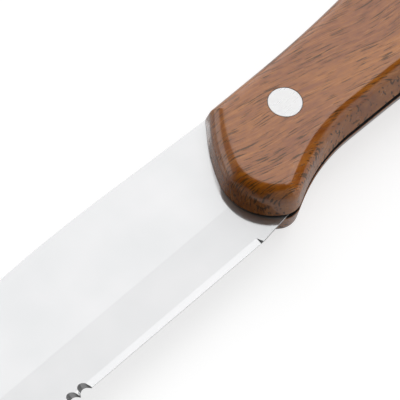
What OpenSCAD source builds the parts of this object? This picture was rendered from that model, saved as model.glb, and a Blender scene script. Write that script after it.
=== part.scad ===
// Serrated steak knife: a full-tang blade between two riveted wooden scales.
// Millimetres. +X runs to the butt, +Y to the spine, +Z up from the face that the knife lies on.
// The origin is on the lower scale's outer face, midway between the front and the middle rivet.

/* [Blade] */
// Blade length from the handle's nose to the tip
blade_l = 127; // [100:1:150]
// Thickness of the blade and the tang
blade_t = 1.3; // [1:0.1:2]
// Height of the spine's highest point above the rivet line
spine_h = 10.45; // [9.8:0.05:11]
// Distance of the spine's highest point in front of the handle's nose
spine_peak = 29; // [20:1:40]
// Drop of the tip below the spine's highest point
tip_drop = 17; // [13:0.5:20]
// Distance from the rivet line down to the cutting edge
edge_depth = 14.3; // [13.8:0.05:14.8]
// Distance from the nose to where the straight edge starts to rise to the tip
edge_straight = 88; // [70:1:95]
// Slope of the spine where it runs in under the handle, in degrees
root_slope = 2.5; // [0:0.5:4]

/* [Edge] */
// Distance from the nose to the step where the bevel ends at the heel
grind_stop = 1.9; // [1:0.1:4]
// Height of the wide primary grind above the cutting edge
grind_h = 8.5; // [6:0.1:10]
// Thickness that the primary grind leaves at the cutting edge
ground_t = 0.4; // [0.3:0.05:0.7]
// Distance behind the nose, under the scales, at which the primary grind starts to run out
grind_back = 5; // [3:0.5:7]
// Length over which the primary grind runs out
grind_runout = 9; // [5:0.5:12]
// Height of the narrow one-sided bevel above the cutting edge
bevel_h = 0.95; // [0.6:0.05:1.2]
// Thickness left at the cutting edge under the bevel
edge_land = 0.15; // [0.1:0.05:0.25]
// Slope of the step where the bevel ends at the heel, in degrees
bevel_exit = 25; // [15:5:45]
// Straight length of blunt edge behind the step
heel_land = 0.2; // [0.1:0.1:0.5]
// Distance from the nose to the centre of the first scallop
scallop_start = 43.6; // [35:0.2:60]
// Spacing of the scallops along the edge
scallop_pitch = 2.5; // [2.3:0.1:3]
// Radius of the grinding tool that cuts a scallop
scallop_r = 1.8; // [1.5:0.05:2.2]
// Depth of a scallop above the cutting edge, where it leaves the ground face
scallop_depth = 1.6; // [1.3:0.05:2]
// Lean of the scallops from upright, in degrees
scallop_lean = 60; // [50:1:68]
// Plain length of edge left at the tip
tip_plain = 5; // [3:0.5:10]

/* [Handle] */
// Handle length from the nose to the butt
handle_l = 122.5; // [110:0.5:135]
// Handle width across the palm swell
handle_w = 24; // [22:0.25:26]

/* [Scales] */
// Thickness of one wooden scale
scale_t = 5.7; // [4.5:0.1:7]
// Rounding of the outer edge along the spine and the belly
side_round = 2; // [1.5:0.1:2.6]
// Lean of the side walls from upright, in degrees
side_draft = 17; // [5:1:20]
// Rounding of the outer edge round the front
front_round = 2.8; // [2:0.1:3]
// Lean of the front wall from upright, in degrees
front_draft = 6; // [2:1:12]
// Broken edge of a scale where it meets the steel
edge_break = 0.15; // [0.1:0.05:0.3]

/* [Rivets] */
// Distance from the nose to the front rivet
rivet_front = 17.6; // [15:0.2:22]
// Distance from the butt to the rear rivet, with the middle rivet halfway between the others
rivet_back = 27.9; // [24:0.1:32]
// Drop of the rear rivet below the rivet line
rivet_drop = 2.4; // [1.5:0.1:3.2]
// Radius of a rivet head
head_r = 3; // [2.6:0.05:3.3]
// Thickness of a rivet head
head_t = 1.1; // [0.8:0.1:1.6]
// Outer radius of the tubular half of a rivet
barrel_r = 2; // [1.8:0.05:2.3]
// Radius of the solid pin of a rivet
pin_r = 1.3; // [1:0.05:1.5]
// Length of the pin below its head
pin_l = 8; // [6:0.5:9]

/* [Clearances] */
// Distance of the tang's edge inside the scales' edge
tang_inset = 0.7; // [0.2:0.05:1]
// Gap round a rivet head in its counterbore
head_gap = 0.06; // [0.02:0.01:0.1]
// Gap round the tubular half of a rivet in the wood and the steel
barrel_gap = 0.05; // [0.02:0.01:0.15]
// Gap round the pin in the tubular half
pin_gap = 0.02; // [0.01:0.01:0.05]
// Room left beyond the end of the tube and of the pin
end_gap = 0.3; // [0.2:0.1:0.8]

/* [Hidden] */

// How far a cutter runs past what it cuts
overrun = 2;
// Smallest radius left where an inset outline turns a corner
corner_min_r = 0.15;
// Longest step and widest turn between two points of the handle's outline
arc_step = 3;
arc_turn = 6;
// Number of steps in the blade's long arcs and in the rounding of a scale
spine_steps = 28;
belly_steps = 14;
round_steps = 6;
round_fn = 64;

// Spacing of the three rivets along the handle
rivet_pitch = (handle_l - rivet_front - rivet_back) / 2;

// Places along the knife
nose_x = -(rivet_front + rivet_pitch / 2);
tip_x = nose_x - blade_l;
peak_x = nose_x - spine_peak;
rise_x = nose_x - edge_straight;
stop_x = nose_x - grind_stop;
run_x = nose_x + grind_back;

// Heights in the stack: lower scale, steel, upper scale
steel_z = scale_t;
upper_z = scale_t + blade_t;
top_z = 2 * scale_t + blade_t;

// Front, middle and rear rivet on the handle
rivet_places = [
    [nose_x + rivet_front, 0],
    [nose_x + rivet_front + rivet_pitch, 0],
    [nose_x + rivet_front + 2 * rivet_pitch, -rivet_drop]
];

// Corners of the handle's outline, anticlockwise from where the spine meets the front.
// Each is a share of the handle's length from the nose, a share of its width from the rivet line,
// and the corner's radius as a share of the width.
handle_shares = [
    [0.067, 0.388, 0.063],
    [0.022, 0.125, 1.460],
    [-0.023, -0.346, 0.383],
    [0.047, -0.612, 0.158],
    [0.135, -0.402, 1.417],
    [0.342, -0.421, 5.000],
    [0.571, -0.575, 4.580],
    [0.832, -0.412, 1.333],
    [0.975, -0.737, 0.188],
    [1.002, -0.312, 0.583],
    [0.992, 0.035, 0.292],
    [0.473, 0.502, 4.170],
    [0.260, 0.388, 9.580]
];
// How many of those corners, from the first, have the front wall after them
front_edges = 4;
// Which of them is the lobe at the heel
lobe_corner = 3;

// Unit vector from one point to the next, and the same turned a quarter to the left
function heading(a, b) = (b - a) / norm(b - a);
function left_of(d) = [-d[1], d[0]];
function turn_between(a, b) = atan2(cross(a, b), a * b);
function wrap(list, i) = list[(i + len(list)) % len(list)];
function point_of(c) = [c[0], c[1]];

// Handle corners in millimetres
handle_corners = [
    for (s = handle_shares)
        [nose_x + s[0] * handle_l, s[1] * handle_w, s[2] * handle_w]
];

// Headings in and out of a corner, and its turn, positive where the outline bulges out
function dir_in(c, i) = heading(point_of(wrap(c, i - 1)), point_of(wrap(c, i)));
function dir_out(c, i) = heading(point_of(wrap(c, i)), point_of(wrap(c, i + 1)));
function corner_turn(c, i) = turn_between(dir_in(c, i), dir_out(c, i));

// Length of edge that a corner's arc takes, and the share of it that the edges have room for
function tangent_l(c, i) = wrap(c, i)[2] * tan(abs(corner_turn(c, i)) / 2);
function edge_l(c, i) = norm(point_of(wrap(c, i + 1)) - point_of(wrap(c, i)));
function room_share(c, i) =
    min(
        1,
        edge_l(c, i) / (tangent_l(c, i) + tangent_l(c, i + 1)),
        edge_l(c, i - 1) / (tangent_l(c, i - 1) + tangent_l(c, i))
    );

// The same corners moved inwards: side_in along the sides, front_in along the front wall
function inset_corner(c, i, side_in, front_in) =
    let (
        n_in = left_of(dir_in(c, i)),
        n_out = left_of(dir_out(c, i)),
        d_in = i > 0 && i <= front_edges ? front_in : side_in,
        d_out = i < front_edges ? front_in : side_in,
        k = n_in * n_out,
        a = (d_in - k * d_out) / (1 - k * k),
        b = (d_out - k * d_in) / (1 - k * k),
        p = point_of(c[i]) + a * n_in + b * n_out,
        bulges = corner_turn(c, i) > 0,
        r = bulges ? max(c[i][2] - (d_in + d_out) / 2, corner_min_r) : c[i][2] + (d_in + d_out) / 2
    )
    [p[0], p[1], r];
function inset_corners(c, side_in, front_in) =
    [for (i = [0 : len(c) - 1]) inset_corner(c, i, side_in, front_in)];

// Number of steps in a corner's arc, the same at every level of a scale
function corner_steps(c, i) =
    let (turn = abs(corner_turn(c, i)))
    max(2, ceil(turn / arc_turn), ceil(turn * PI / 180 * c[i][2] / arc_step));

// Points of the rounded outline
function arc_points(c, i, steps) =
    let (
        turn = corner_turn(c, i),
        side = sign(turn),
        r = c[i][2] * room_share(c, i),
        start = point_of(c[i]) - r * tan(abs(turn) / 2) * dir_in(c, i),
        centre = start + side * r * left_of(dir_in(c, i)),
        from = atan2(start[1] - centre[1], start[0] - centre[0])
    )
    [
        for (k = [0 : steps])
            centre + r * [cos(from + turn * k / steps), sin(from + turn * k / steps)]
    ];
function outline(c, plan) = [for (i = [0 : len(c) - 1]) each arc_points(c, i, corner_steps(plan, i))];

// How far a scale's wall stands in at height z above the steel, for a given lean and rounding
function wall_inset(z, draft, r) =
    let (
        z_centre = scale_t - r,
        z_wall = z_centre + r * sin(draft),
        full = z_wall * tan(draft) + r * cos(draft),
        rise = min(z - z_centre, r)
    )
    z <= z_wall ? z * tan(draft) : full - sqrt(r * r - rise * rise);

// Heights of a scale's levels: below and above its broken edge, steps round to the flat, and above
// the flat. The first and the last stand outside the scale, so that a slab cuts both flats clean.
level_z = [
    -edge_break,
    edge_break,
    for (k = [0 : round_steps])
        scale_t - side_round * (1 - sin(side_draft + (90 - side_draft) * k / round_steps)),
    scale_t + overrun
];

function level_points(z) =
    let (
        height = min(max(z, 0), scale_t),
        extra = max(edge_break - z, 0),
        side_in = wall_inset(height, side_draft, side_round) + extra,
        front_in = wall_inset(height, front_draft, front_round) + extra,
        ring = outline(inset_corners(handle_corners, side_in, front_in), handle_corners)
    )
    [for (p = ring) [p[0], p[1], z]];

// One scale's walls, run past both of its flats
module scale_walls() {
    rings = [for (z = level_z) level_points(z)];
    n = len(rings[0]);
    last = (len(rings) - 1) * n;
    polyhedron(
        points = [for (ring = rings) each ring],
        faces = [
            [for (i = [0 : n - 1]) i],
            [for (i = [n - 1 : -1 : 0]) last + i],
            for (k = [0 : len(rings) - 2], i = [0 : n - 1])
                each [
                    [k * n + i, (k + 1) * n + i, (k + 1) * n + (i + 1) % n],
                    [k * n + i, (k + 1) * n + (i + 1) % n, k * n + (i + 1) % n]
                ]
        ]
    );
}

// One scale with its inner face on z = 0 and its outer face up
module scale_body() {
    intersection() {
        scale_walls();
        translate([nose_x - handle_w, -handle_w, 0])
            cube([handle_l + 2 * handle_w, 2 * handle_w, scale_t]);
    }
}

// Hole through a scale for each rivet, with a counterbore for its head
module rivet_holes() {
    for (p = rivet_places)
        translate([p[0], p[1], 0]) {
            translate([0, 0, -overrun])
                cylinder(r = barrel_r + barrel_gap, h = scale_t + 2 * overrun, $fn = round_fn);
            translate([0, 0, scale_t - head_t])
                cylinder(r = head_r + head_gap, h = head_t + overrun, $fn = round_fn);
        }
}

module drilled_scale() {
    difference() {
        scale_body();
        rivet_holes();
    }
}

module upper_scale() {
    color("#a9764c")
        translate([0, 0, upper_z])
            drilled_scale();
}

module lower_scale() {
    color("#a27048")
        translate([0, 0, steel_z])
            mirror([0, 0, 1])
                drilled_scale();
}

// The spine's arc from the tip over its highest point, then straight down to the handle
spine_run = blade_l - spine_peak;
spine_r = (spine_run * spine_run + tip_drop * tip_drop) / (2 * tip_drop);
spine_centre = [peak_x, spine_h - spine_r];
tip_turn = asin(spine_run / spine_r);
tip_y = spine_h - tip_drop;
spine_arc = [
    for (k = [0 : spine_steps])
        let (a = root_slope - (root_slope + tip_turn) * k / spine_steps)
        spine_centre + spine_r * [sin(a), cos(a)]
];

// The edge's arc from its straight part up to the tip
belly_run = rise_x - tip_x;
belly_rise = tip_y + edge_depth;
belly_r = (belly_run * belly_run + belly_rise * belly_rise) / (2 * belly_rise);
belly_centre = [rise_x, belly_r - edge_depth];
belly_turn = asin(belly_run / belly_r);
function belly_point(a, r) = belly_centre + r * [-sin(a), -cos(a)];
belly_arc = [for (k = [1 : belly_steps - 1]) belly_point(belly_turn * (1 - k / belly_steps), belly_r)];

// The tang's outline, and the middle of its lobe at the heel, where the blunt heel runs into it
tang_corners = inset_corners(handle_corners, tang_inset, tang_inset);
lobe_arc = arc_points(tang_corners, lobe_corner, corner_steps(handle_corners, lobe_corner));
heel_point = lobe_arc[floor(len(lobe_arc) / 2)];

// Where the blade's spine ends inside the tang
root_x = nose_x + rivet_front;
root_point = [root_x, spine_arc[0][1] - (root_x - spine_arc[0][0]) * tan(root_slope)];

module blade_outline() {
    polygon([
        each spine_arc,
        each belly_arc,
        [rise_x, -edge_depth],
        [stop_x + heel_land, -edge_depth],
        heel_point,
        root_point
    ]);
    polygon(outline(tang_corners, handle_corners));
}

// Depth of the primary grind at the cutting edge, on each face
grind_depth = (blade_t - ground_t) / 2;

// Tapers one face from the grind line down to the edge, running out under the scales.
// z = 0 is the face, and the cutter stands above it.
module grind_cutter() {
    top_y = grind_h - edge_depth;
    low_y = -edge_depth - overrun;
    low_z = -grind_depth * (grind_h + overrun) / grind_h;
    end_x = tip_x - overrun;
    low_x = run_x + grind_runout * (grind_h + overrun) / grind_h;
    polyhedron(
        points = [
            [end_x, top_y, 0],
            [run_x, top_y, 0],
            [low_x, low_y, 0],
            [run_x, low_y, low_z],
            [end_x, low_y, low_z],
            [end_x, top_y, overrun],
            [run_x, top_y, overrun],
            [low_x, low_y, overrun],
            [end_x, low_y, overrun]
        ],
        faces = [
            [4, 3, 1, 0],
            [3, 2, 1],
            [6, 7, 8, 5],
            [1, 6, 5, 0],
            [2, 7, 6, 1],
            [3, 4, 8, 7, 2],
            [5, 8, 4, 0]
        ]
    );
}

// Narrow bevel on the upper face: how far it runs inwards for each unit of its rise, the height of
// its lower edge, where it starts to lift out of the steel at the heel, and the top of its cutters
bevel_run = bevel_h / (ground_t - edge_land);
bevel_z = grind_depth + edge_land;
exit_x = stop_x - (ground_t - edge_land) / tan(bevel_exit);
bevel_top = blade_t + overrun;

// Straight bevel with its step at the heel
module straight_bevel() {
    low_y = -edge_depth - overrun;
    end_x = stop_x + overrun;
    end_z = bevel_z + (end_x - exit_x) * tan(bevel_exit);
    function section(x, z) = [
        [x, low_y, z - overrun / bevel_run],
        [x, (bevel_top - z) * bevel_run - edge_depth, bevel_top],
        [x, low_y, bevel_top]
    ];
    polyhedron(
        points = [each section(rise_x, bevel_z), each section(exit_x, bevel_z), each section(end_x, end_z)],
        faces = [
            [0, 1, 2],
            for (k = [0, 3])
                each [
                    [k, k + 3, k + 4, k + 1],
                    [k + 2, k + 1, k + 4, k + 5],
                    [k, k + 2, k + 5, k + 3]
                ],
            [8, 7, 6]
        ]
    );
}

// The same bevel round the belly, as a cone
module belly_bevel() {
    rise = bevel_top - bevel_z;
    translate([belly_centre[0], belly_centre[1], bevel_z])
        difference() {
            translate([-belly_run - overrun, -belly_r - overrun, -overrun])
                cube([belly_run + overrun, belly_r + overrun, rise + overrun]);
            translate([0, 0, -2 * overrun])
                cylinder(
                    r1 = belly_r + 2 * overrun * bevel_run,
                    r2 = belly_r - (rise + overrun) * bevel_run,
                    h = rise + 3 * overrun,
                    $fn = 4 * round_fn
                );
        }
}

// Row of scallops along the straight edge and on round the belly
straight_run = edge_straight - scallop_start;
scallop_count = floor((straight_run + belly_r * belly_turn * PI / 180 - tip_plain) / scallop_pitch);
module scallop() {
    reach = (blade_t + overrun) / cos(scallop_lean);
    translate([0, scallop_depth - scallop_r / cos(scallop_lean), blade_t - grind_depth])
        rotate([-scallop_lean, 0, 0])
            cylinder(r = scallop_r, h = 2 * reach, center = true, $fn = round_fn);
}
module scallop_row() {
    for (k = [0 : scallop_count]) {
        run = k * scallop_pitch;
        a = max(0, run - straight_run) / belly_r * 180 / PI;
        place = belly_point(a, belly_r);
        translate([a > 0 ? place[0] : nose_x - scallop_start - run, place[1], 0])
            rotate([0, 0, -a])
                scallop();
    }
}

module blade() {
    color("#dfe1e2")
        translate([0, 0, steel_z])
            difference() {
                linear_extrude(blade_t)
                    blade_outline();
                for (p = rivet_places)
                    translate([p[0], p[1], -overrun])
                        cylinder(r = barrel_r + barrel_gap, h = blade_t + 2 * overrun, $fn = round_fn);
                translate([0, 0, blade_t])
                    grind_cutter();
                mirror([0, 0, 1])
                    grind_cutter();
                straight_bevel();
                belly_bevel();
                scallop_row();
            }
}

// Solid half of a rivet: head flush with the upper scale and a pin down into the tube
module rivet_post(p) {
    color("#e9e9ea")
        translate([p[0], p[1], 0]) {
            translate([0, 0, top_z - head_t])
                cylinder(r = head_r, h = head_t, $fn = round_fn);
            translate([0, 0, top_z - head_t - pin_l])
                cylinder(r = pin_r, h = pin_l, $fn = round_fn);
        }
}

// Tubular half of a rivet: head flush with the lower scale and a tube up through the handle
module rivet_barrel(p) {
    tube_top = top_z - head_t - end_gap;
    bore_floor = top_z - head_t - pin_l - end_gap;
    color("#d9dadc")
        translate([p[0], p[1], 0])
            difference() {
                union() {
                    cylinder(r = head_r, h = head_t, $fn = round_fn);
                    cylinder(r = barrel_r, h = tube_top, $fn = round_fn);
                }
                translate([0, 0, bore_floor])
                    cylinder(r = pin_r + pin_gap, h = top_z - bore_floor, $fn = round_fn);
            }
}

blade();
upper_scale();
lower_scale();
rivet_post(rivet_places[0]);  // front_rivet_post
rivet_barrel(rivet_places[0]);  // front_rivet_barrel
rivet_post(rivet_places[1]);  // middle_rivet_post
rivet_barrel(rivet_places[1]);  // middle_rivet_barrel
rivet_post(rivet_places[2]);  // rear_rivet_post
rivet_barrel(rivet_places[2]);  // rear_rivet_barrel
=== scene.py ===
"""Looks of a steak knife: a ground steel blade between two varnished wooden scales, with flush rivets."""

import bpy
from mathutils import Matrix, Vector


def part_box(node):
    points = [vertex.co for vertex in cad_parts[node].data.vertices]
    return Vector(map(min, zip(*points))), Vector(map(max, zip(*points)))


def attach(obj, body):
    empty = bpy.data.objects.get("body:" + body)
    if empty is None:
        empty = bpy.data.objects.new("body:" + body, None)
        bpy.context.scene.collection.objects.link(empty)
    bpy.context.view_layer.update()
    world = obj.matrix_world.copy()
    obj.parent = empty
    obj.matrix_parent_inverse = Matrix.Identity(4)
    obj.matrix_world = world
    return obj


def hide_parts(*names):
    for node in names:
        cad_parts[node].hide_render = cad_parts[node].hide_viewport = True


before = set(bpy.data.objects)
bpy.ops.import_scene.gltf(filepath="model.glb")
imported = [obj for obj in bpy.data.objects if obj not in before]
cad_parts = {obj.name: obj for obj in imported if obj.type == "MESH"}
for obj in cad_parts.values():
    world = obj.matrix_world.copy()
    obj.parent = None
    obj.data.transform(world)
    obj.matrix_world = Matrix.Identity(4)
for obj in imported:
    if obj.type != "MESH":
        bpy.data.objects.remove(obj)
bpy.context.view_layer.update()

import math

import bpy
from bpy.props import FloatProperty, FloatVectorProperty, IntProperty, PointerProperty
from mathutils import Matrix, Vector
from mathutils.geometry import tessellate_polygon

bl_info = {
    "name": "Steak Knife Looks",
    "version": (1, 0, 0),
    "blender": (4, 5, 0),
    "location": "3D View > Sidebar > Steak Knife",
    "description": "Dresses a riveted steak knife in varnished wood and ground steel",
    "category": "Object",
}

MM = 0.001
ROOT = "root"

# Levels of the knife's stack, taken from the boxes of the CAD scales
UNDERSIDE, STEEL_LOW = (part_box("lower_scale")[k].z for k in (0, 1))
STEEL_HIGH, TOP = (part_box("upper_scale")[k].z for k in (0, 1))

# Corners of the handle's outline, anticlockwise from where the spine meets the front: a share of the
# handle's length from its nose, a share of its width from the rivet line, and the corner's radius as a
# share of the width.
HANDLE_SHARES = (
    (0.067, 0.388, 0.063),
    (0.022, 0.125, 1.460),
    (-0.023, -0.346, 0.383),
    (0.047, -0.612, 0.158),
    (0.135, -0.402, 1.417),
    (0.342, -0.421, 5.000),
    (0.571, -0.575, 4.580),
    (0.832, -0.412, 1.333),
    (0.975, -0.737, 0.188),
    (1.002, -0.312, 0.583),
    (0.992, 0.035, 0.292),
    (0.473, 0.502, 4.170),
    (0.260, 0.388, 9.580),
)
# How many corners, from the first, have the front wall after them
FRONT_EDGES = 4
# An arc of the outline has at least so many steps, each of at most so many degrees and so long
ARC_STEPS, ARC_TURN, ARC_LENGTH = 4, 2.5, 1.2 * MM
RIVET_COUNT = 3
# Round holes and rivets have so many sides
ROUND_SIDES = 72
# A triangle is left out when twice its area, in square metres, is less than this
LEAST_AREA = 1e-16
# The haze round a ground metal's mirror image spreads like a surface of this roughness
HAZE_ROUGHNESS = 0.6
# Width of the camera's sensor in millimetres, and of the floor's halves and the lamps in metres
SENSOR_WIDTH, FLOOR_REACH, LAMP_WIDTH = 36.0, 3.0, 1.2


def linear(hex_color):
    """Linear RGBA of an sRGB colour written as #rrggbb."""
    parts = (int(hex_color[k : k + 2], 16) / 255.0 for k in (1, 3, 5))
    return tuple(c / 12.92 if c <= 0.04045 else ((c + 0.055) / 1.055) ** 2.4 for c in parts) + (1.0,)


# Settings


class SteakKnifeHandle(bpy.types.PropertyGroup):
    """Sizes of the wooden scales"""

    length: FloatProperty(
        name="Handle length", description="From the nose to the butt", default=122.5 * MM, unit="LENGTH"
    )
    width: FloatProperty(
        name="Handle width", description="Across the palm swell", default=24.0 * MM, unit="LENGTH"
    )
    side_round: FloatProperty(
        name="Side rounding", description="Radius along the spine and the belly",
        default=2.7 * MM, unit="LENGTH",
    )
    side_draft: FloatProperty(
        name="Side lean", description="Lean of the side walls",
        default=math.radians(17.0), subtype="ANGLE",
    )
    front_round: FloatProperty(
        name="Front rounding", description="Radius round the front", default=3.2 * MM, unit="LENGTH"
    )
    front_draft: FloatProperty(
        name="Front lean", description="Lean of the front wall",
        default=math.radians(6.0), subtype="ANGLE",
    )
    edge_break: FloatProperty(
        name="Broken edge", description="Chamfer where the wood meets the steel",
        default=0.15 * MM, unit="LENGTH",
    )
    corner_min: FloatProperty(
        name="Least corner", description="Smallest radius of an inset corner",
        default=0.15 * MM, unit="LENGTH",
    )
    sanding: FloatProperty(
        name="Sanding", description="Wood sanded off the outline", default=0.01 * MM, unit="LENGTH"
    )
    steps: IntProperty(name="Rounding steps", description="Steps round to the flat", default=14, min=4)


class SteakKnifeRivets(bpy.types.PropertyGroup):
    """Sizes of the rivets"""

    front: FloatProperty(
        name="First rivet", description="From the nose to the front rivet",
        default=17.6 * MM, unit="LENGTH",
    )
    pitch: FloatProperty(
        name="Rivet pitch", description="Spacing of the rivets", default=38.5 * MM, unit="LENGTH"
    )
    drop: FloatProperty(
        name="Rear drop", description="Drop of the rear rivet below the line",
        default=2.4 * MM, unit="LENGTH",
    )
    head_radius: FloatProperty(
        name="Head radius", description="Radius of a head", default=3.0 * MM, unit="LENGTH"
    )
    head_depth: FloatProperty(
        name="Head depth", description="Thickness of a head", default=1.1 * MM, unit="LENGTH"
    )
    head_gap: FloatProperty(
        name="Head gap", description="Gap round a head", default=0.06 * MM, unit="LENGTH"
    )
    barrel_radius: FloatProperty(
        name="Barrel radius", description="Outside of the tubular half", default=2.0 * MM, unit="LENGTH"
    )
    barrel_gap: FloatProperty(
        name="Barrel gap", description="Gap round the tubular half", default=0.05 * MM, unit="LENGTH"
    )
    pin_radius: FloatProperty(
        name="Pin radius", description="Radius of the solid pin", default=1.3 * MM, unit="LENGTH"
    )
    pin_gap: FloatProperty(
        name="Pin gap", description="Gap round the pin", default=0.02 * MM, unit="LENGTH"
    )
    pin_length: FloatProperty(
        name="Pin length", description="Pin below its head", default=8.0 * MM, unit="LENGTH"
    )
    end_gap: FloatProperty(
        name="End gap", description="Room past the tube and the pin", default=0.3 * MM, unit="LENGTH"
    )
    rim: FloatProperty(
        name="Head rim", description="Softened rim of a head", default=0.12 * MM, unit="LENGTH"
    )


class SteakKnifeWood(bpy.types.PropertyGroup):
    """Colours and grain of the scales"""

    body: FloatVectorProperty(
        name="Wood", description="Heartwood colour", subtype="COLOR",
        default=linear("#884607")[:3], min=0, max=1,
    )
    pale: FloatVectorProperty(
        name="Pale grain", description="Colour of the pale bands", subtype="COLOR",
        default=linear("#aa6514")[:3], min=0, max=1,
    )
    pore: FloatVectorProperty(
        name="Pores", description="Colour of the open pores", subtype="COLOR",
        default=linear("#59350a")[:3], min=0, max=1,
    )
    # painted shade: the dark line where the wood meets the steel, standing in for the shadowed gap
    joint: FloatVectorProperty(
        name="Joint", description="Colour of the darkened glue along the steel", subtype="COLOR",
        default=linear("#1d1612")[:3], min=0, max=1,
    )
    pore_length: FloatProperty(
        name="Pore length", description="Length of a pore along the grain",
        default=4.2 * MM, unit="LENGTH",
    )
    pore_width: FloatProperty(
        name="Pore width", description="Width of a pore", default=0.2 * MM, unit="LENGTH"
    )
    pore_depth: FloatProperty(
        name="Pore depth", description="Length of a row of pores through the wood",
        default=1.1 * MM, unit="LENGTH",
    )
    lean: FloatProperty(
        name="Grain lean", description="Lean of the pore rows from upright",
        default=math.radians(15.0), subtype="ANGLE",
    )
    slant: FloatProperty(
        name="Grain slant", description="Turn of the grain from the handle",
        default=math.radians(-13.0), subtype="ANGLE",
    )


class SteakKnifeStage(bpy.types.PropertyGroup):
    """Camera and light"""

    azimuth: FloatProperty(
        name="Azimuth", description="Camera round the knife",
        default=math.radians(-52.038), subtype="ANGLE",
    )
    elevation: FloatProperty(
        name="Elevation", description="Camera above the horizon",
        default=math.radians(57.696), subtype="ANGLE",
    )
    roll: FloatProperty(
        name="Roll", description="Turn of the picture", default=math.radians(7.459), subtype="ANGLE"
    )
    distance: FloatProperty(
        name="Distance", description="From the camera to its aim", default=600.0 * MM, unit="LENGTH"
    )
    lens: FloatProperty(name="Lens", description="Focal length on a 36 mm sensor", default=321.56)
    aim: FloatVectorProperty(
        name="Aim", description="Point at the picture's centre", subtype="XYZ",
        default=(-40.95 * MM, -1.535 * MM, 7.0 * MM),
    )
    window_level: FloatProperty(
        name="Window level", description="Brightness of the window side", default=1.6, min=0
    )
    dark_level: FloatProperty(
        name="Dark level", description="Share of it that the dark side gives", default=0.02, min=0
    )
    lamp_power: FloatProperty(name="Lamp", description="Power of the soft lamp", default=7.8, unit="POWER")
    lamp_place: FloatVectorProperty(
        name="Lamp place", description="Middle of the soft lamp", subtype="XYZ", default=(0.7, 0.5, 0.85)
    )
    fill_power: FloatProperty(name="Fill", description="Power of the fill lamp", default=6.2, unit="POWER")
    fill_place: FloatVectorProperty(
        name="Fill place", description="Middle of the fill lamp", subtype="XYZ", default=(1.0, -0.75, 0.5)
    )


# Small helpers


def rgba(color):
    """A setting's colour with full opacity."""
    return (color[0], color[1], color[2], 1.0)


def add_node(tree, kind, settings=None, **sockets):
    """Adds a node, sets its properties, and fills or links its inputs.

    The underscores of an input's name stand for spaces, and in0 is the first input.
    """
    node = tree.nodes.new(kind)
    for name, value in (settings or {}).items():
        setattr(node, name, value)
    for name, value in sockets.items():
        key = int(name[2:]) if name[:2] == "in" and name[2:].isdigit() else name.replace("_", " ")
        socket = node.inputs[key]
        if isinstance(value, bpy.types.NodeSocket):
            tree.links.new(value, socket)
        else:
            socket.default_value = value
    return node


def maths(tree, operation, *values, kind="ShaderNodeMath"):
    """Result of a maths node on numbers, vectors or sockets."""
    inputs = {f"in{k}": value for k, value in enumerate(values)}
    return add_node(tree, kind, {"operation": operation}, **inputs).outputs[0]


def remap(tree, value, start, end, low, high, smooth=False):
    """Turns the range from start to end into the one from low to high, on request with soft ends."""
    return add_node(
        tree, "ShaderNodeMapRange", {"interpolation_type": "SMOOTHSTEP" if smooth else "LINEAR"},
        Value=value, From_Min=start, From_Max=end, To_Min=low, To_Max=high,
    ).outputs[0]


def blend(tree, share, first, second, kind="MIX"):
    """Colour between two others."""
    return add_node(
        tree, "ShaderNodeMix", {"data_type": "RGBA", "blend_type": kind}, Factor=share, in6=first, in7=second
    ).outputs[2]


def noise(tree, place, size, detail):
    """Cloudy noise, with clouds of about the given size."""
    return add_node(
        tree, "ShaderNodeTexNoise", {"noise_dimensions": "3D"}, Vector=place, Scale=1 / size, Detail=detail
    )


def relief(tree, height, strength, depth, sunk=False):
    """Normal of a surface with a fine relief, or with a sunken one."""
    return add_node(
        tree, "ShaderNodeBump", {"invert": sunk}, Strength=strength, Distance=depth, Height=height
    ).outputs[0]


def new_material(name):
    """An empty node material and its tree."""
    material = bpy.data.materials.new(name)
    material.use_nodes = True
    material.node_tree.nodes.clear()
    return material, material.node_tree


def mesh_object(name, points, faces, normals, material):
    """A piece in the row frame, in metres, with a normal for every corner of every face."""
    mesh = bpy.data.meshes.new(name)
    mesh.from_pydata([tuple(p) for p in points], [], faces)
    mesh.polygons.foreach_set("use_smooth", [True] * len(mesh.polygons))
    mesh.normals_split_custom_set([tuple(n) for n in normals])
    mesh.materials.append(material)
    piece = bpy.data.objects.new(name, mesh)
    bpy.context.collection.objects.link(piece)
    return piece


def seat(piece, slot, *nodes):
    """Puts a finished piece on the knife's body in place of its CAD nodes."""
    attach(piece, ROOT)
    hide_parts(*nodes)


# The scales' shape


def left_of(d):
    """Heading a quarter turn to the left, which is into the outline."""
    return Vector((-d.y, d.x))


def corner_frame(corners, i):
    """Headings in and out of a corner, and its turn, positive where the outline bulges out."""
    before, here, after = (Vector(corners[k % len(corners)][:2]) for k in (i - 1, i, i + 1))
    d_in, d_out = (here - before).normalized(), (after - here).normalized()
    return d_in, d_out, math.atan2(d_in.x * d_out.y - d_in.y * d_out.x, d_in.dot(d_out))


def inset_corners(corners, side_in, front_in, least):
    """Corners of the outline with its sides and its front moved in by their own distances."""
    moved = []
    for i, corner in enumerate(corners):
        d_in, d_out, turn = corner_frame(corners, i)
        n_in, n_out = left_of(d_in), left_of(d_out)
        e_in = front_in if 0 < i <= FRONT_EDGES else side_in
        e_out = front_in if i < FRONT_EDGES else side_in
        k = n_in.dot(n_out)
        a, b = (e_in - k * e_out) / (1 - k * k), (e_out - k * e_in) / (1 - k * k)
        p = Vector(corner[:2]) + a * n_in + b * n_out
        mean = (e_in + e_out) / 2
        radius = max(corner[2] - mean, least) if turn > 0 else corner[2] + mean
        moved.append((p.x, p.y, radius))
    return moved


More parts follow.
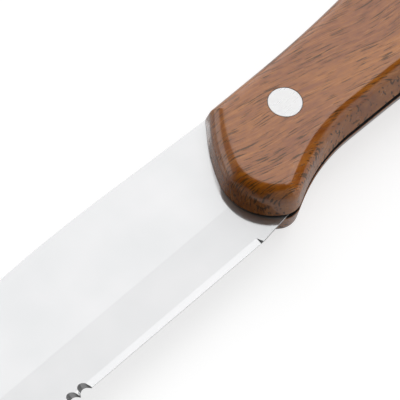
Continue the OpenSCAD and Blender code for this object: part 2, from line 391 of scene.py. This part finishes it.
def rounded_outline(corners, plan):
    """Points of the outline. The steps of each arc come from plan, so every level has as many points."""
    turns = [corner_frame(corners, i)[2] for i in range(len(corners))]
    tangents = [c[2] * math.tan(abs(t) / 2) for c, t in zip(corners, turns)]
    edges = [
        (Vector(corners[(i + 1) % len(corners)][:2]) - Vector(c[:2])).length for i, c in enumerate(corners)
    ]
    ring = []
    for i, corner in enumerate(corners):
        d_in, _, turn = corner_frame(corners, i)
        room = min(
            1.0,
            edges[i] / (tangents[i] + tangents[(i + 1) % len(corners)]),
            edges[i - 1] / (tangents[i - 1] + tangents[i]),
        )
        r = corner[2] * room
        side = math.copysign(1.0, turn)
        start = Vector(corner[:2]) - r * math.tan(abs(turn) / 2) * d_in
        centre = start + side * r * left_of(d_in)
        begin = math.atan2(start.y - centre.y, start.x - centre.x)
        plan_turn = abs(corner_frame(plan, i)[2])
        by_turn = math.ceil(math.degrees(plan_turn) / ARC_TURN)
        by_length = math.ceil(plan_turn * plan[i][2] / ARC_LENGTH)
        steps = max(ARC_STEPS, by_turn, by_length)
        for k in range(steps + 1):
            angle = begin + turn * k / steps
            ring.append(centre + r * Vector((math.cos(angle), math.sin(angle))))
    return ring


def wall_inset(z, thickness, draft, r):
    """How far a scale's wall stands in at height z above the steel."""
    centre = thickness - r
    wall_top = centre + r * math.sin(draft)
    if z <= wall_top:
        return z * math.tan(draft)
    rise = min(z - centre, r)
    return wall_top * math.tan(draft) + r * math.cos(draft) - math.sqrt(max(r * r - rise * rise, 0.0))


def handle_corners(handle, rivets):
    """Corners of the outline against the steel: x, y and radius."""
    nose = -(rivets.front + rivets.pitch / 2)
    return [(nose + sx * handle.length, sy * handle.width, sr * handle.width) for sx, sy, sr in HANDLE_SHARES]


def rivet_places(rivets):
    """Middles of the rivets along the handle. The rear one lies lower."""
    first = -rivets.pitch / 2
    return [
        Vector((first + k * rivets.pitch, -rivets.drop if k == RIVET_COUNT - 1 else 0.0))
        for k in range(RIVET_COUNT)
    ]


def scale_levels(handle, thickness):
    """Heights above the steel, close together where either rounding bends."""
    front_start = thickness - handle.front_round * (1 - math.sin(handle.front_draft))
    side_start = thickness - handle.side_round * (1 - math.sin(handle.side_draft))
    levels = [handle.edge_break, front_start / 2, front_start]
    levels += [front_start + (side_start - front_start) * k / 5 for k in range(1, 5)]
    for k in range(handle.steps + 1):
        tilt = handle.side_draft + (math.pi / 2 - handle.side_draft) * k / handle.steps
        levels.append(thickness - handle.side_round * (1 - math.sin(tilt)))
    return levels


def make_scale(name, material, handle, rivets, inner_z, outer_z):
    """One scale, as rings of points from the steel out to the flat, with its rivet holes."""
    thickness = abs(outer_z - inner_z)
    up = 1.0 if outer_z > inner_z else -1.0
    plan = handle_corners(handle, rivets)
    heights = [0.0] + scale_levels(handle, thickness)
    rings = []
    for z in heights:
        extra = handle.sanding + (handle.edge_break if z == 0.0 else 0.0)
        side_in = wall_inset(z, thickness, handle.side_draft, handle.side_round) + extra
        front_in = wall_inset(z, thickness, handle.front_draft, handle.front_round) + extra
        ring = rounded_outline(inset_corners(plan, side_in, front_in, handle.corner_min), plan)
        rings.append([Vector((p.x, p.y, z)) for p in ring])
    count = len(rings[0])

    def ring_normal(level, i, low, high):
        """Normal of the wall at a point, from its neighbours along the ring and up the wall."""
        ring = rings[level]
        here = ring[i]
        along = (ring[(i + 1) % count] - here).normalized() + (here - ring[i - 1]).normalized()
        rise = (rings[high][i] - here).normalized() + (here - rings[low][i]).normalized()
        return along.cross(rise).normalized()

    points = [p for ring in rings for p in ring]
    faces, normals = [], []
    top = len(rings) - 1
    # the shoulder runs smoothly into the flat, and the broken edge stays crisp
    wall_normals = {(top, i): Vector((0, 0, 1)) for i in range(count)}
    for level in range(1, top):
        for i in range(count):
            wall_normals[level, i] = ring_normal(level, i, max(level - 1, 1), level + 1)
    for level in range(top):
        low, high = level * count, (level + 1) * count
        for i in range(count):
            j = (i + 1) % count
            faces.append([low + i, low + j, high + j, high + i])
            if level == 0:
                slope = (rings[0][j] - rings[0][i]).cross(rings[1][i] - rings[0][i]).normalized()
                normals += [slope] * 4
            else:
                normals += [wall_normals[level, i], wall_normals[level, j]]
                normals += [wall_normals[level + 1, j], wall_normals[level + 1, i]]

    # each hole is a counterbore for the head, its floor, and a bore for the tube
    sides = ROUND_SIDES
    bore = rivets.barrel_radius + rivets.barrel_gap
    seat_r = rivets.head_radius + rivets.head_gap
    floor = thickness - rivets.head_depth
    hole_rims = {0: [], top: []}
    for place in rivet_places(rivets):
        start = len(points)
        wheel = [spoke(k) for k in range(sides)]
        centre = Vector((place.x, place.y, 0))
        profile = ((seat_r, thickness), (seat_r, floor), (bore, floor), (bore, 0.0))
        for r, z in profile:
            points += [centre + r * w + Vector((0, 0, z)) for w in wheel]
        for band, ((r_above, _), (r_below, _)) in enumerate(zip(profile, profile[1:])):
            for k in range(sides):
                m = (k + 1) % sides
                a, b = start + band * sides, start + (band + 1) * sides
                faces.append([a + k, a + m, b + m, b + k])
                if r_above == r_below:
                    normals += [-wheel[k], -wheel[m], -wheel[m], -wheel[k]]
                else:
                    normals += [Vector((0, 0, 1))] * 4
        hole_rims[top].append(list(range(start, start + sides)))
        hole_rims[0].append(list(range(len(points) - sides, len(points))))

    for level, facing in ((0, -1.0), (top, 1.0)):
        loops = [list(range(level * count, (level + 1) * count))] + hole_rims[level]
        flat_list = [v for loop in loops for v in loop]
        for tri in tessellate_polygon([[points[v] for v in loop] for loop in loops]):
            face = [flat_list[v] for v in tri]
            a, b, c = (points[v] for v in face)
            lean = (b - a).cross(c - a).z
            if abs(lean) < LEAST_AREA:
                continue
            faces.append(face if lean * facing > 0 else face[::-1])
            normals += [Vector((0, 0, facing))] * 3

    # the lower scale is the upper one's mirror image, so its faces are turned round
    placed = [Vector((p.x, p.y, inner_z + up * p.z)) for p in points]
    if up < 0:
        turned = []
        at = 0
        for face in faces:
            size = len(face)
            turned += [Vector((n.x, n.y, -n.z)) for n in reversed(normals[at : at + size])]
            at += size
        normals = turned
        faces = [face[::-1] for face in faces]
    return mesh_object(name, placed, faces, normals, material)


# The rivets' shape


def spoke(k):
    """One of the directions round a hole or a rivet. Halves lie between two of them."""
    angle = 2 * math.pi * k / ROUND_SIDES
    return Vector((math.cos(angle), math.sin(angle), 0))


def lathe(name, profile, material):
    """A closed turned piece from (radius, z) points, listed from the axis out, round and back to it."""
    sides = ROUND_SIDES
    points, faces, normals = [], [], []
    rows = []
    for r, z in profile:
        if r == 0.0:
            rows.append([len(points)] * sides)
            points.append(Vector((0, 0, z)))
        else:
            rows.append(list(range(len(points), len(points) + sides)))
            points += [r * spoke(k) + Vector((0, 0, z)) for k in range(sides)]
    for (r0, z0), (r1, z1), low, high in zip(profile, profile[1:], rows, rows[1:]):
        for k in range(sides):
            m = (k + 1) % sides
            face = [low[m], high[m], high[k], low[k]]
            if r0 == 0.0:
                face = [high[m], high[k], low[k]]
            elif r1 == 0.0:
                face = [low[m], high[k], low[k]]
            faces.append(face)
            # a triangle on the axis takes the direction of its middle
            corners = {low[k]: k, high[k]: k, low[m]: m, high[m]: m}
            for v in face:
                out = spoke(corners[v] if r0 and r1 else k + 0.5)
                normals.append((out * (z1 - z0) + Vector((0, 0, 1)) * (r0 - r1)).normalized())
    return mesh_object(name, points, faces, normals, material)


def rivet_row_tree():
    """Repeats one rivet at its places along the handle."""
    tree = bpy.data.node_groups.new("rivet row", "GeometryNodeTree")
    sockets = (
        ("Rivet", "NodeSocketGeometry"),
        ("Count", "NodeSocketInt"),
        ("First Place", "NodeSocketVector"),
        ("Pitch", "NodeSocketFloat"),
        ("Rear Drop", "NodeSocketFloat"),
        ("Material", "NodeSocketMaterial"),
    )
    for name, kind in sockets:
        tree.interface.new_socket(name, in_out="INPUT", socket_type=kind)
    tree.interface.new_socket("Rivets", in_out="OUTPUT", socket_type="NodeSocketGeometry")
    given = tree.nodes.new("NodeGroupInput").outputs
    step = add_node(tree, "ShaderNodeCombineXYZ", X=given["Pitch"])
    line = add_node(
        tree, "GeometryNodeMeshLine", {"mode": "OFFSET"},
        Count=given["Count"], Start_Location=given["First Place"], Offset=step.outputs[0],
    )
    index = tree.nodes.new("GeometryNodeInputIndex")
    # only the rear rivet, the last one, lies below the line
    past = maths(tree, "SUBTRACT", index.outputs[0], RIVET_COUNT - 2)
    only_rear = maths(tree, "MAXIMUM", past, 0.0)
    fall = maths(tree, "MULTIPLY", only_rear, given["Rear Drop"])
    shift = add_node(tree, "ShaderNodeCombineXYZ", Y=maths(tree, "MULTIPLY", fall, -1.0))
    places = add_node(tree, "GeometryNodeSetPosition", Geometry=line.outputs[0], Offset=shift.outputs[0])
    rivets = add_node(
        tree, "GeometryNodeInstanceOnPoints", Points=places.outputs[0], Instance=given["Rivet"]
    )
    real = add_node(tree, "GeometryNodeRealizeInstances", Geometry=rivets.outputs[0])
    painted = add_node(tree, "GeometryNodeSetMaterial", Geometry=real.outputs[0], Material=given["Material"])
    add_node(tree, "NodeGroupOutput", Rivets=painted.outputs[0])
    return tree


def repeat_rivet(piece, tree, rivets):
    """Runs the row on one rivet and keeps its result as the piece's own mesh."""
    modifier = piece.modifiers.new("rivet row", "NODES")
    modifier.node_group = tree
    first = rivet_places(rivets)[0]
    values = {
        "Count": RIVET_COUNT,
        "First Place": (first.x, first.y, 0.0),
        "Pitch": rivets.pitch,
        "Rear Drop": rivets.drop,
        "Material": piece.data.materials[0],
    }
    for item in tree.interface.items_tree:
        if item.in_out == "INPUT" and item.name in values:
            modifier[item.identifier] = values[item.name]
    graph = bpy.context.evaluated_depsgraph_get()
    graph.update()
    whole = bpy.data.meshes.new_from_object(
        piece.evaluated_get(graph), preserve_all_data_layers=True, depsgraph=graph
    )
    piece.modifiers.remove(modifier)
    piece.data = whole
    return piece


# Materials


def varnished_wood(wood):
    """Pored tropical hardwood, sanded and dipped in clear varnish: short dark pores under a glossy skin."""
    material, tree = new_material("varnished pored hardwood")
    place = add_node(tree, "ShaderNodeTexCoord").outputs["Object"]
    # the grain wanders by about a millimetre over 25 mm
    wander = noise(tree, place, 25 * MM, 1.0).outputs["Color"]
    centred = maths(tree, "SUBTRACT", wander, (0.5, 0.5, 0.5), kind="ShaderNodeVectorMath")
    swing = maths(tree, "MULTIPLY", centred, (0, 5 * MM, 2 * MM), kind="ShaderNodeVectorMath")
    bent = maths(tree, "ADD", place, swing, kind="ShaderNodeVectorMath")
    turned = add_node(
        tree, "ShaderNodeVectorRotate", {"rotation_type": "EULER_XYZ"},
        Vector=bent, Rotation=(wood.lean, 0.0, -wood.slant),
    ).outputs[0]

    def grain(length, width, depth, detail, offset=0.0):
        """Noise drawn out along the grain, in real sizes. Each use has its own offset."""
        stretched = add_node(
            tree, "ShaderNodeMapping", Vector=turned,
            Location=(offset, offset, offset), Scale=(1 / length, 1 / width, 1 / depth),
        )
        return add_node(
            tree, "ShaderNodeTexNoise", {"noise_dimensions": "3D"},
            Vector=stretched.outputs[0], Scale=1.0, Detail=detail, Roughness=0.55,
        ).outputs["Fac"]

    # broad pale and dark bands, 5 mm wide, fine fibres, 0.5 mm wide, and a short mottle between them
    bands = grain(60 * MM, 5 * MM, 8 * MM, 2.0)
    fibres = grain(9 * MM, 0.5 * MM, 2.5 * MM, 3.0, 7.0)
    mottle = grain(1.6 * MM, 0.7 * MM, 0.7 * MM, 2.0, 3.0)
    tone = maths(tree, "MULTIPLY_ADD", bands, 0.9, -0.2)
    tone = maths(tree, "MULTIPLY_ADD", fibres, 0.75, tone)
    tone = maths(tree, "MULTIPLY_ADD", mottle, 0.55, tone)
    body = blend(tree, remap(tree, tone, 0.7, 1.15, 0.0, 1.0), rgba(wood.body), rgba(wood.pale))

    # open pores, drawn twice as wide as the real 0.1 mm so that they show, and gathered in loose rows
    pores = grain(wood.pore_length, wood.pore_width, wood.pore_depth, 1.0, 11.0)
    clusters = grain(14 * MM, 3 * MM, 3 * MM, 1.0, 17.0)
    gathered = maths(tree, "MULTIPLY_ADD", clusters, 0.25, pores)
    dark = remap(tree, gathered, 0.715, 0.765, 0.0, 1.0, smooth=True)
    color = blend(tree, dark, body, rgba(wood.pore))

    # painted shade along the narrow joint where the wood meets the steel, reaching a little further on the
    # upper side; it stands in for the shadowed gap
    height = add_node(tree, "ShaderNodeSeparateXYZ", Vector=place).outputs["Z"]
    joint_middle = (STEEL_LOW + STEEL_HIGH) / 2 + 0.06 * MM
    joint_reach = (STEEL_HIGH - STEEL_LOW) / 2
    off_joint = maths(tree, "ABSOLUTE", maths(tree, "SUBTRACT", height, joint_middle))
    # painted shade mask: the wood darkens within this distance of the steel
    painted_joint_shade = remap(tree, off_joint, joint_reach + 0.07 * MM, joint_reach + 0.11 * MM, 1.0, 0.0)
    color = blend(tree, painted_joint_shade, color, rgba(wood.joint))

    # the varnish thins out over the sunken pores, and has a slight orange peel, 1.5 mm from crest to crest
    sink = relief(tree, dark, 0.35, 0.04 * MM, sunk=True)
    cover = remap(tree, dark, 0.0, 1.0, 1.0, 0.4)
    peel = noise(tree, place, 1.5 * MM, 1.0).outputs["Fac"]
    skin = relief(tree, peel, 0.25, 0.02 * MM)
    rough = remap(tree, fibres, 0.3, 0.7, 0.18, 0.3)
    shader = add_node(
        tree, "ShaderNodeBsdfPrincipled",
        Base_Color=color, Roughness=rough, Normal=sink, IOR=1.5, Specular_IOR_Level=0.5,
        Coat_Normal=skin, Coat_Weight=cover, Coat_Roughness=0.05, Coat_IOR=1.55,
    )
    add_node(tree, "ShaderNodeOutputMaterial", Surface=shader.outputs[0])
    return material


def hazy_metal(tree, color, rough, grooves, haze):
    """A ground metal's two lobes: a sharp mirror image, and a haze of the given share round it."""
    mirror, veil = (
        add_node(
            tree, "ShaderNodeBsdfPrincipled", Base_Color=color, Metallic=1.0, Roughness=spread, Normal=grooves
        ).outputs[0]
        for spread in (rough, HAZE_ROUGHNESS)
    )
    both = add_node(tree, "ShaderNodeMixShader", Fac=haze, in1=mirror, in2=veil)
    add_node(tree, "ShaderNodeOutputMaterial", Surface=both.outputs[0])


def ground_steel():
    """Stainless blade steel, ground along the blade and buffed: nearly a mirror, with the finest of lines."""
    material, tree = new_material("buffed stainless blade steel")
    place = add_node(tree, "ShaderNodeTexCoord").outputs["Object"]
    # buffing lines 0.05 mm apart would vanish, so they are drawn 0.25 mm apart
    lines = add_node(
        tree, "ShaderNodeMapping", Vector=place, Scale=(1 / (18 * MM), 1 / (0.25 * MM), 1 / (2 * MM))
    ).outputs[0]
    buffing = noise(tree, lines, 1.0, 3.0).outputs["Fac"]
    cloud = noise(tree, place, 12 * MM, 2.0).outputs["Fac"]
    rough = remap(tree, maths(tree, "ADD", buffing, cloud), 0.6, 1.4, 0.07, 0.11)
    # chromium steel is nearly neutral, and the clouds are slightly brighter
    color = blend(tree, remap(tree, cloud, 0.3, 0.7, 0.0, 1.0), linear("#dfe0e1"), linear("#e6e6e7"))
    grooves = relief(tree, buffing, 0.12, 0.01 * MM)
    hazy_metal(tree, color, rough, grooves, 0.35)
    return material


def rivet_metal():
    """Aluminium cutlery rivet, belted flush with the wood: pale satin with fine slanting scratches."""
    material, tree = new_material("belted aluminium rivet")
    place = add_node(tree, "ShaderNodeTexCoord").outputs["Object"]
    # belt scratches about 0.1 mm wide and 2 mm long
    belt = add_node(
        tree, "ShaderNodeMapping", Vector=place, Rotation=(0.0, 0.0, math.radians(35)),
        Scale=(1 / (2 * MM), 1 / (0.12 * MM), 1 / (0.5 * MM)),
    ).outputs[0]
    scratch = noise(tree, belt, 1.0, 2.0).outputs["Fac"]
    # a few stains under a millimetre across, a little greyer than the metal
    stain = noise(tree, place, 0.9 * MM, 3.0).outputs["Fac"]
    patch = remap(tree, stain, 0.55, 0.75, 0.0, 1.0, smooth=True)
    color = blend(tree, patch, linear("#eaeaea"), linear("#e2e2e4"))
    rough = remap(tree, scratch, 0.3, 0.7, 0.27, 0.31)
    grooves = relief(tree, scratch, 0.03, 0.01 * MM)
    hazy_metal(tree, color, rough, grooves, 0.45)
    return material


def pale_floor():
    """Matt white card: lifted to white where it is open, and shaded where the knife keeps the light off."""
    material, tree = new_material("matt white card")
    place = add_node(tree, "ShaderNodeTexCoord").outputs["Object"]
    tooth = noise(tree, place, 30 * MM, 2.0).outputs["Fac"]
    color = blend(tree, tooth, linear("#a6a6a6"), linear("#a9a9a9"))
    card = add_node(tree, "ShaderNodeBsdfDiffuse", Color=color)
    path = add_node(tree, "ShaderNodeLightPath").outputs
    # the camera sees it lifted to white, and the varnish and the steel mirror it less lifted
    mirrored = maths(tree, "MAXIMUM", path["Is Glossy Ray"], path["Is Transmission Ray"])
    mirrored = maths(tree, "MULTIPLY", mirrored, 0.18)
    lift = maths(tree, "MULTIPLY_ADD", path["Is Camera Ray"], 0.7, mirrored)
    glow = add_node(tree, "ShaderNodeEmission", Color=(1, 1, 1, 1), Strength=lift)
    front = add_node(tree, "ShaderNodeAddShader", in0=card.outputs[0], in1=glow.outputs[0])
    # from below, the card isn't there
    side = add_node(tree, "ShaderNodeNewGeometry").outputs["Backfacing"]
    clear = add_node(tree, "ShaderNodeBsdfTransparent")
    both = add_node(tree, "ShaderNodeMixShader", Fac=side, in1=front.outputs[0], in2=clear.outputs[0])
    add_node(tree, "ShaderNodeOutputMaterial", Surface=both.outputs[0])
    return material


# Operators


class SteakKnifeMakeBlade(bpy.types.Operator):
    """Finish the blade and its tang in buffed steel"""

    bl_idname = "steak_knife.make_blade"
    bl_label = "Blade"

    def execute(self, context):
        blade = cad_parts["blade"]
        steel = ground_steel()
        for held in blade.material_slots:
            held.material = steel
        return {"FINISHED"}


class SteakKnifeMakeScales(bpy.types.Operator):
    """Make both wooden scales and varnish them"""

    bl_idname = "steak_knife.make_scales"
    bl_label = "Scales"

    def execute(self, context):
        handle, rivets = context.scene.steak_knife_handle, context.scene.steak_knife_rivets
        wood = varnished_wood(context.scene.steak_knife_wood)
        upper = make_scale("upper_scale_wood", wood, handle, rivets, STEEL_HIGH, TOP)
        seat(upper, "varnished_wood", "upper_scale")
        lower = make_scale("lower_scale_wood", wood, handle, rivets, STEEL_LOW, UNDERSIDE)
        seat(lower, "varnished_wood", "lower_scale")
        return {"FINISHED"}


class SteakKnifeMakeRivets(bpy.types.Operator):
    """Turn one rivet of each kind and repeat it along the handle"""

    bl_idname = "steak_knife.make_rivets"
    bl_label = "Rivets"

    def execute(self, context):
        rivets = context.scene.steak_knife_rivets
        metal = rivet_metal()
        tree = rivet_row_tree()
        head, rim, pin = rivets.head_radius, rivets.rim, rivets.pin_radius
        under = TOP - rivets.head_depth
        pin_end = under - rivets.pin_length
        turned = [(0.0, pin_end), (pin, pin_end), (pin, under), (head, under), (head, TOP - rim)]
        turned += soft_rim(head, TOP, rim, 1.0) + [(0.0, TOP)]
        posts = repeat_rivet(lathe("rivet_posts", turned, metal), tree, rivets)
        seat(posts, "rivet_metal", "front_rivet_post", "middle_rivet_post", "rear_rivet_post")

        tube, bore = rivets.barrel_radius, rivets.pin_radius + rivets.pin_gap
        over = UNDERSIDE + rivets.head_depth
        tube_top = under - rivets.end_gap
        bore_floor = pin_end - rivets.end_gap
        turned = [(0.0, UNDERSIDE)] + soft_rim(head, UNDERSIDE, rim, -1.0)[::-1]
        turned += [(head, UNDERSIDE + rim), (head, over), (tube, over), (tube, tube_top)]
        turned += [(bore, tube_top), (bore, bore_floor), (0.0, bore_floor)]
        barrels = repeat_rivet(lathe("rivet_barrels", turned, metal), tree, rivets)
        seat(barrels, "rivet_metal", "front_rivet_barrel", "middle_rivet_barrel", "rear_rivet_barrel")
        return {"FINISHED"}


def soft_rim(radius, face_z, rim, up):
    """Points of a rounded rim, from the side up to the face."""
    turns = [math.pi / 2 * k / 5 for k in range(1, 6)]
    return [
        (radius - rim * (1 - math.cos(t)), face_z - up * rim * (1 - math.sin(t))) for t in turns
    ]


class SteakKnifeMakeStage(bpy.types.Operator):
    """Lay the pale floor and set the light and the camera"""

    bl_idname = "steak_knife.make_stage"
    bl_label = "Stage"

    def execute(self, context):
        stage = context.scene.steak_knife_stage
        self.lay_floor()
        self.light_world(context.scene, stage)
        self.hang_lamp("soft lamp", stage.lamp_place, stage.lamp_power, stage)
        self.hang_lamp("fill lamp", stage.fill_place, stage.fill_power, stage)
        self.place_camera(context.scene, stage)
        context.scene.view_settings.view_transform = "Standard"
        return {"FINISHED"}

    def lay_floor(self):
        reach = FLOOR_REACH
        corners = [(-reach, -reach, 0), (reach, -reach, 0), (reach, reach, 0), (-reach, reach, 0)]
        floor = mesh_object("floor", corners, [[0, 1, 2, 3]], [(0, 0, 1)] * 4, pale_floor())

    def light_world(self, scene, stage):
        """A studio that is bright on the window side, towards +X and +Y, and dark round the camera."""
        world = bpy.data.worlds.new("studio")
        world.use_nodes = True
        tree = world.node_tree
        tree.nodes.clear()
        heading = add_node(tree, "ShaderNodeTexCoord").outputs["Generated"]
        aim = add_node(tree, "ShaderNodeSeparateXYZ", Vector=heading)
        x, y, z = (aim.outputs[axis] for axis in "XYZ")
        window = add_node(
            tree, "ShaderNodeVectorMath", {"operation": "DOT_PRODUCT"}, in0=heading, in1=(1.0, 0.3, 0.2)
        ).outputs["Value"]
        # towards the heel side, the window's border stands further off
        corner = remap(tree, y, -0.34, -0.2, 1.2, 0.0, smooth=True)
        edge = maths(tree, "SUBTRACT", window, corner)
        lit = remap(tree, edge, 0.36, 0.46, stage.dark_level, 1.0, smooth=True)
        # the window is a little dimmer where the flat of the blade mirrors it
        ramp = add_node(tree, "ShaderNodeValToRGB", in0=y)
        points = ramp.color_ramp.elements
        points[0].position, points[0].color = 0.0, (0.97, 0.97, 0.97, 1)
        points[1].position, points[1].color = 0.7, (0.83, 0.83, 0.83, 1)
        for position, level in ((0.2, 0.76), (0.26, 0.76), (0.33, 0.83)):
            points.new(position).color = (level, level, level, 1)
        bright = blend(tree, 1.0, ramp.outputs[0], lit, "MULTIPLY")

        # a bright wall stands low behind the spine
        behind = remap(tree, y, 0.5, 0.75, 0.0, 1.0, smooth=True)
        low = remap(tree, z, 0.42, 0.6, 0.8, 0.0, smooth=True)
        wall = maths(tree, "MULTIPLY", behind, low)
        # three dimmer ones, beyond the spine, the heel side and the tip, keep the steel from turning black
        spine = remap(tree, y, 0.44, 0.6, 0.0, 0.2, smooth=True)
        ahead = remap(tree, x, -0.93, -0.82, 0.14, 0.0, smooth=True)
        heel = remap(tree, y, -0.6, -0.45, 0.18, 0.0, smooth=True)
        # the belly of the handle mirrors the heel's wall only low down, and lighter there
        heel = maths(tree, "MULTIPLY", heel, remap(tree, x, 0.2, 0.36, 1.0, 0.0, smooth=True))
        beside = remap(tree, x, 0.2, 0.36, 0.0, 0.45, smooth=True)
        under = remap(tree, y, -0.8, -0.64, 1.0, 0.0, smooth=True)
        belly = maths(tree, "MULTIPLY", beside, under)
        for dim in (wall, spine, heel, ahead, belly):
            bright = blend(tree, 1.0, bright, dim, "LIGHTEN")
        studio = add_node(tree, "ShaderNodeBackground", Color=bright, Strength=stage.window_level)
        white = add_node(tree, "ShaderNodeBackground", Color=(1, 1, 1, 1), Strength=1.0)
        seen = add_node(tree, "ShaderNodeLightPath").outputs["Is Camera Ray"]
        mixed = add_node(tree, "ShaderNodeMixShader", Fac=seen, in1=studio.outputs[0], in2=white.outputs[0])
        add_node(tree, "ShaderNodeOutputWorld", Surface=mixed.outputs[0])
        scene.world = world

    def hang_lamp(self, name, place, power, stage):
        """A broad soft lamp, which lights the wood and the floor but isn't mirrored."""
        data = bpy.data.lights.new(name, "AREA")
        data.shape = "DISK"
        data.size = LAMP_WIDTH
        data.energy = power
        lamp = bpy.data.objects.new(name, data)
        lamp.location = place
        lamp.rotation_euler = (Vector(place) - Vector(stage.aim)).to_track_quat("Z", "Y").to_euler()
        lamp.visible_glossy = False
        bpy.context.collection.objects.link(lamp)

    def place_camera(self, scene, stage):
        data = bpy.data.cameras.new("camera")
        data.lens = stage.lens
        data.sensor_width = SENSOR_WIDTH
        data.clip_start = 0.01
        data.clip_end = 20.0
        camera = bpy.data.objects.new("camera", data)
        flat = math.cos(stage.elevation)
        around = Vector((math.sin(stage.azimuth), -math.cos(stage.azimuth), 0))
        back = flat * around + Vector((0, 0, math.sin(stage.elevation)))
        level = Vector((0, 0, 1)).cross(back).normalized()
        upright = back.cross(level)
        c, s = math.cos(stage.roll), math.sin(stage.roll)
        right, up = c * level + s * upright, -s * level + c * upright
        turn = Matrix((right, up, back)).transposed().to_quaternion()
        camera.matrix_world = Matrix.LocRotScale(Vector(stage.aim) + stage.distance * back, turn, None)
        bpy.context.collection.objects.link(camera)
        scene.camera = camera


class SteakKnifePanel(bpy.types.Panel):
    """The knife's pieces and settings"""

    bl_idname = "VIEW3D_PT_steak_knife"
    bl_label = "Steak Knife"
    bl_space_type = "VIEW_3D"
    bl_region_type = "UI"
    bl_category = "Steak Knife"

    def draw(self, context):
        for heading, group in SETTINGS.items():
            box = self.layout.box()
            box.label(text=group.__doc__)
            for name in group.__annotations__:
                box.prop(getattr(context.scene, heading), name)
        for operator in OPERATORS:
            self.layout.operator(operator.bl_idname)


SETTINGS = {
    "steak_knife_handle": SteakKnifeHandle,
    "steak_knife_rivets": SteakKnifeRivets,
    "steak_knife_wood": SteakKnifeWood,
    "steak_knife_stage": SteakKnifeStage,
}
OPERATORS = (SteakKnifeMakeBlade, SteakKnifeMakeScales, SteakKnifeMakeRivets, SteakKnifeMakeStage)


def register():
    for held in (*SETTINGS.values(), *OPERATORS, SteakKnifePanel):
        bpy.utils.register_class(held)
    for name, group in SETTINGS.items():
        setattr(bpy.types.Scene, name, PointerProperty(type=group))


def unregister():
    for name in SETTINGS:
        delattr(bpy.types.Scene, name)
    for held in reversed((*SETTINGS.values(), *OPERATORS, SteakKnifePanel)):
        bpy.utils.unregister_class(held)


def main():
    register()
    bpy.ops.steak_knife.make_blade()
    bpy.ops.steak_knife.make_scales()
    bpy.ops.steak_knife.make_rivets()
    bpy.ops.steak_knife.make_stage()


if __name__ == "__main__":
    main()
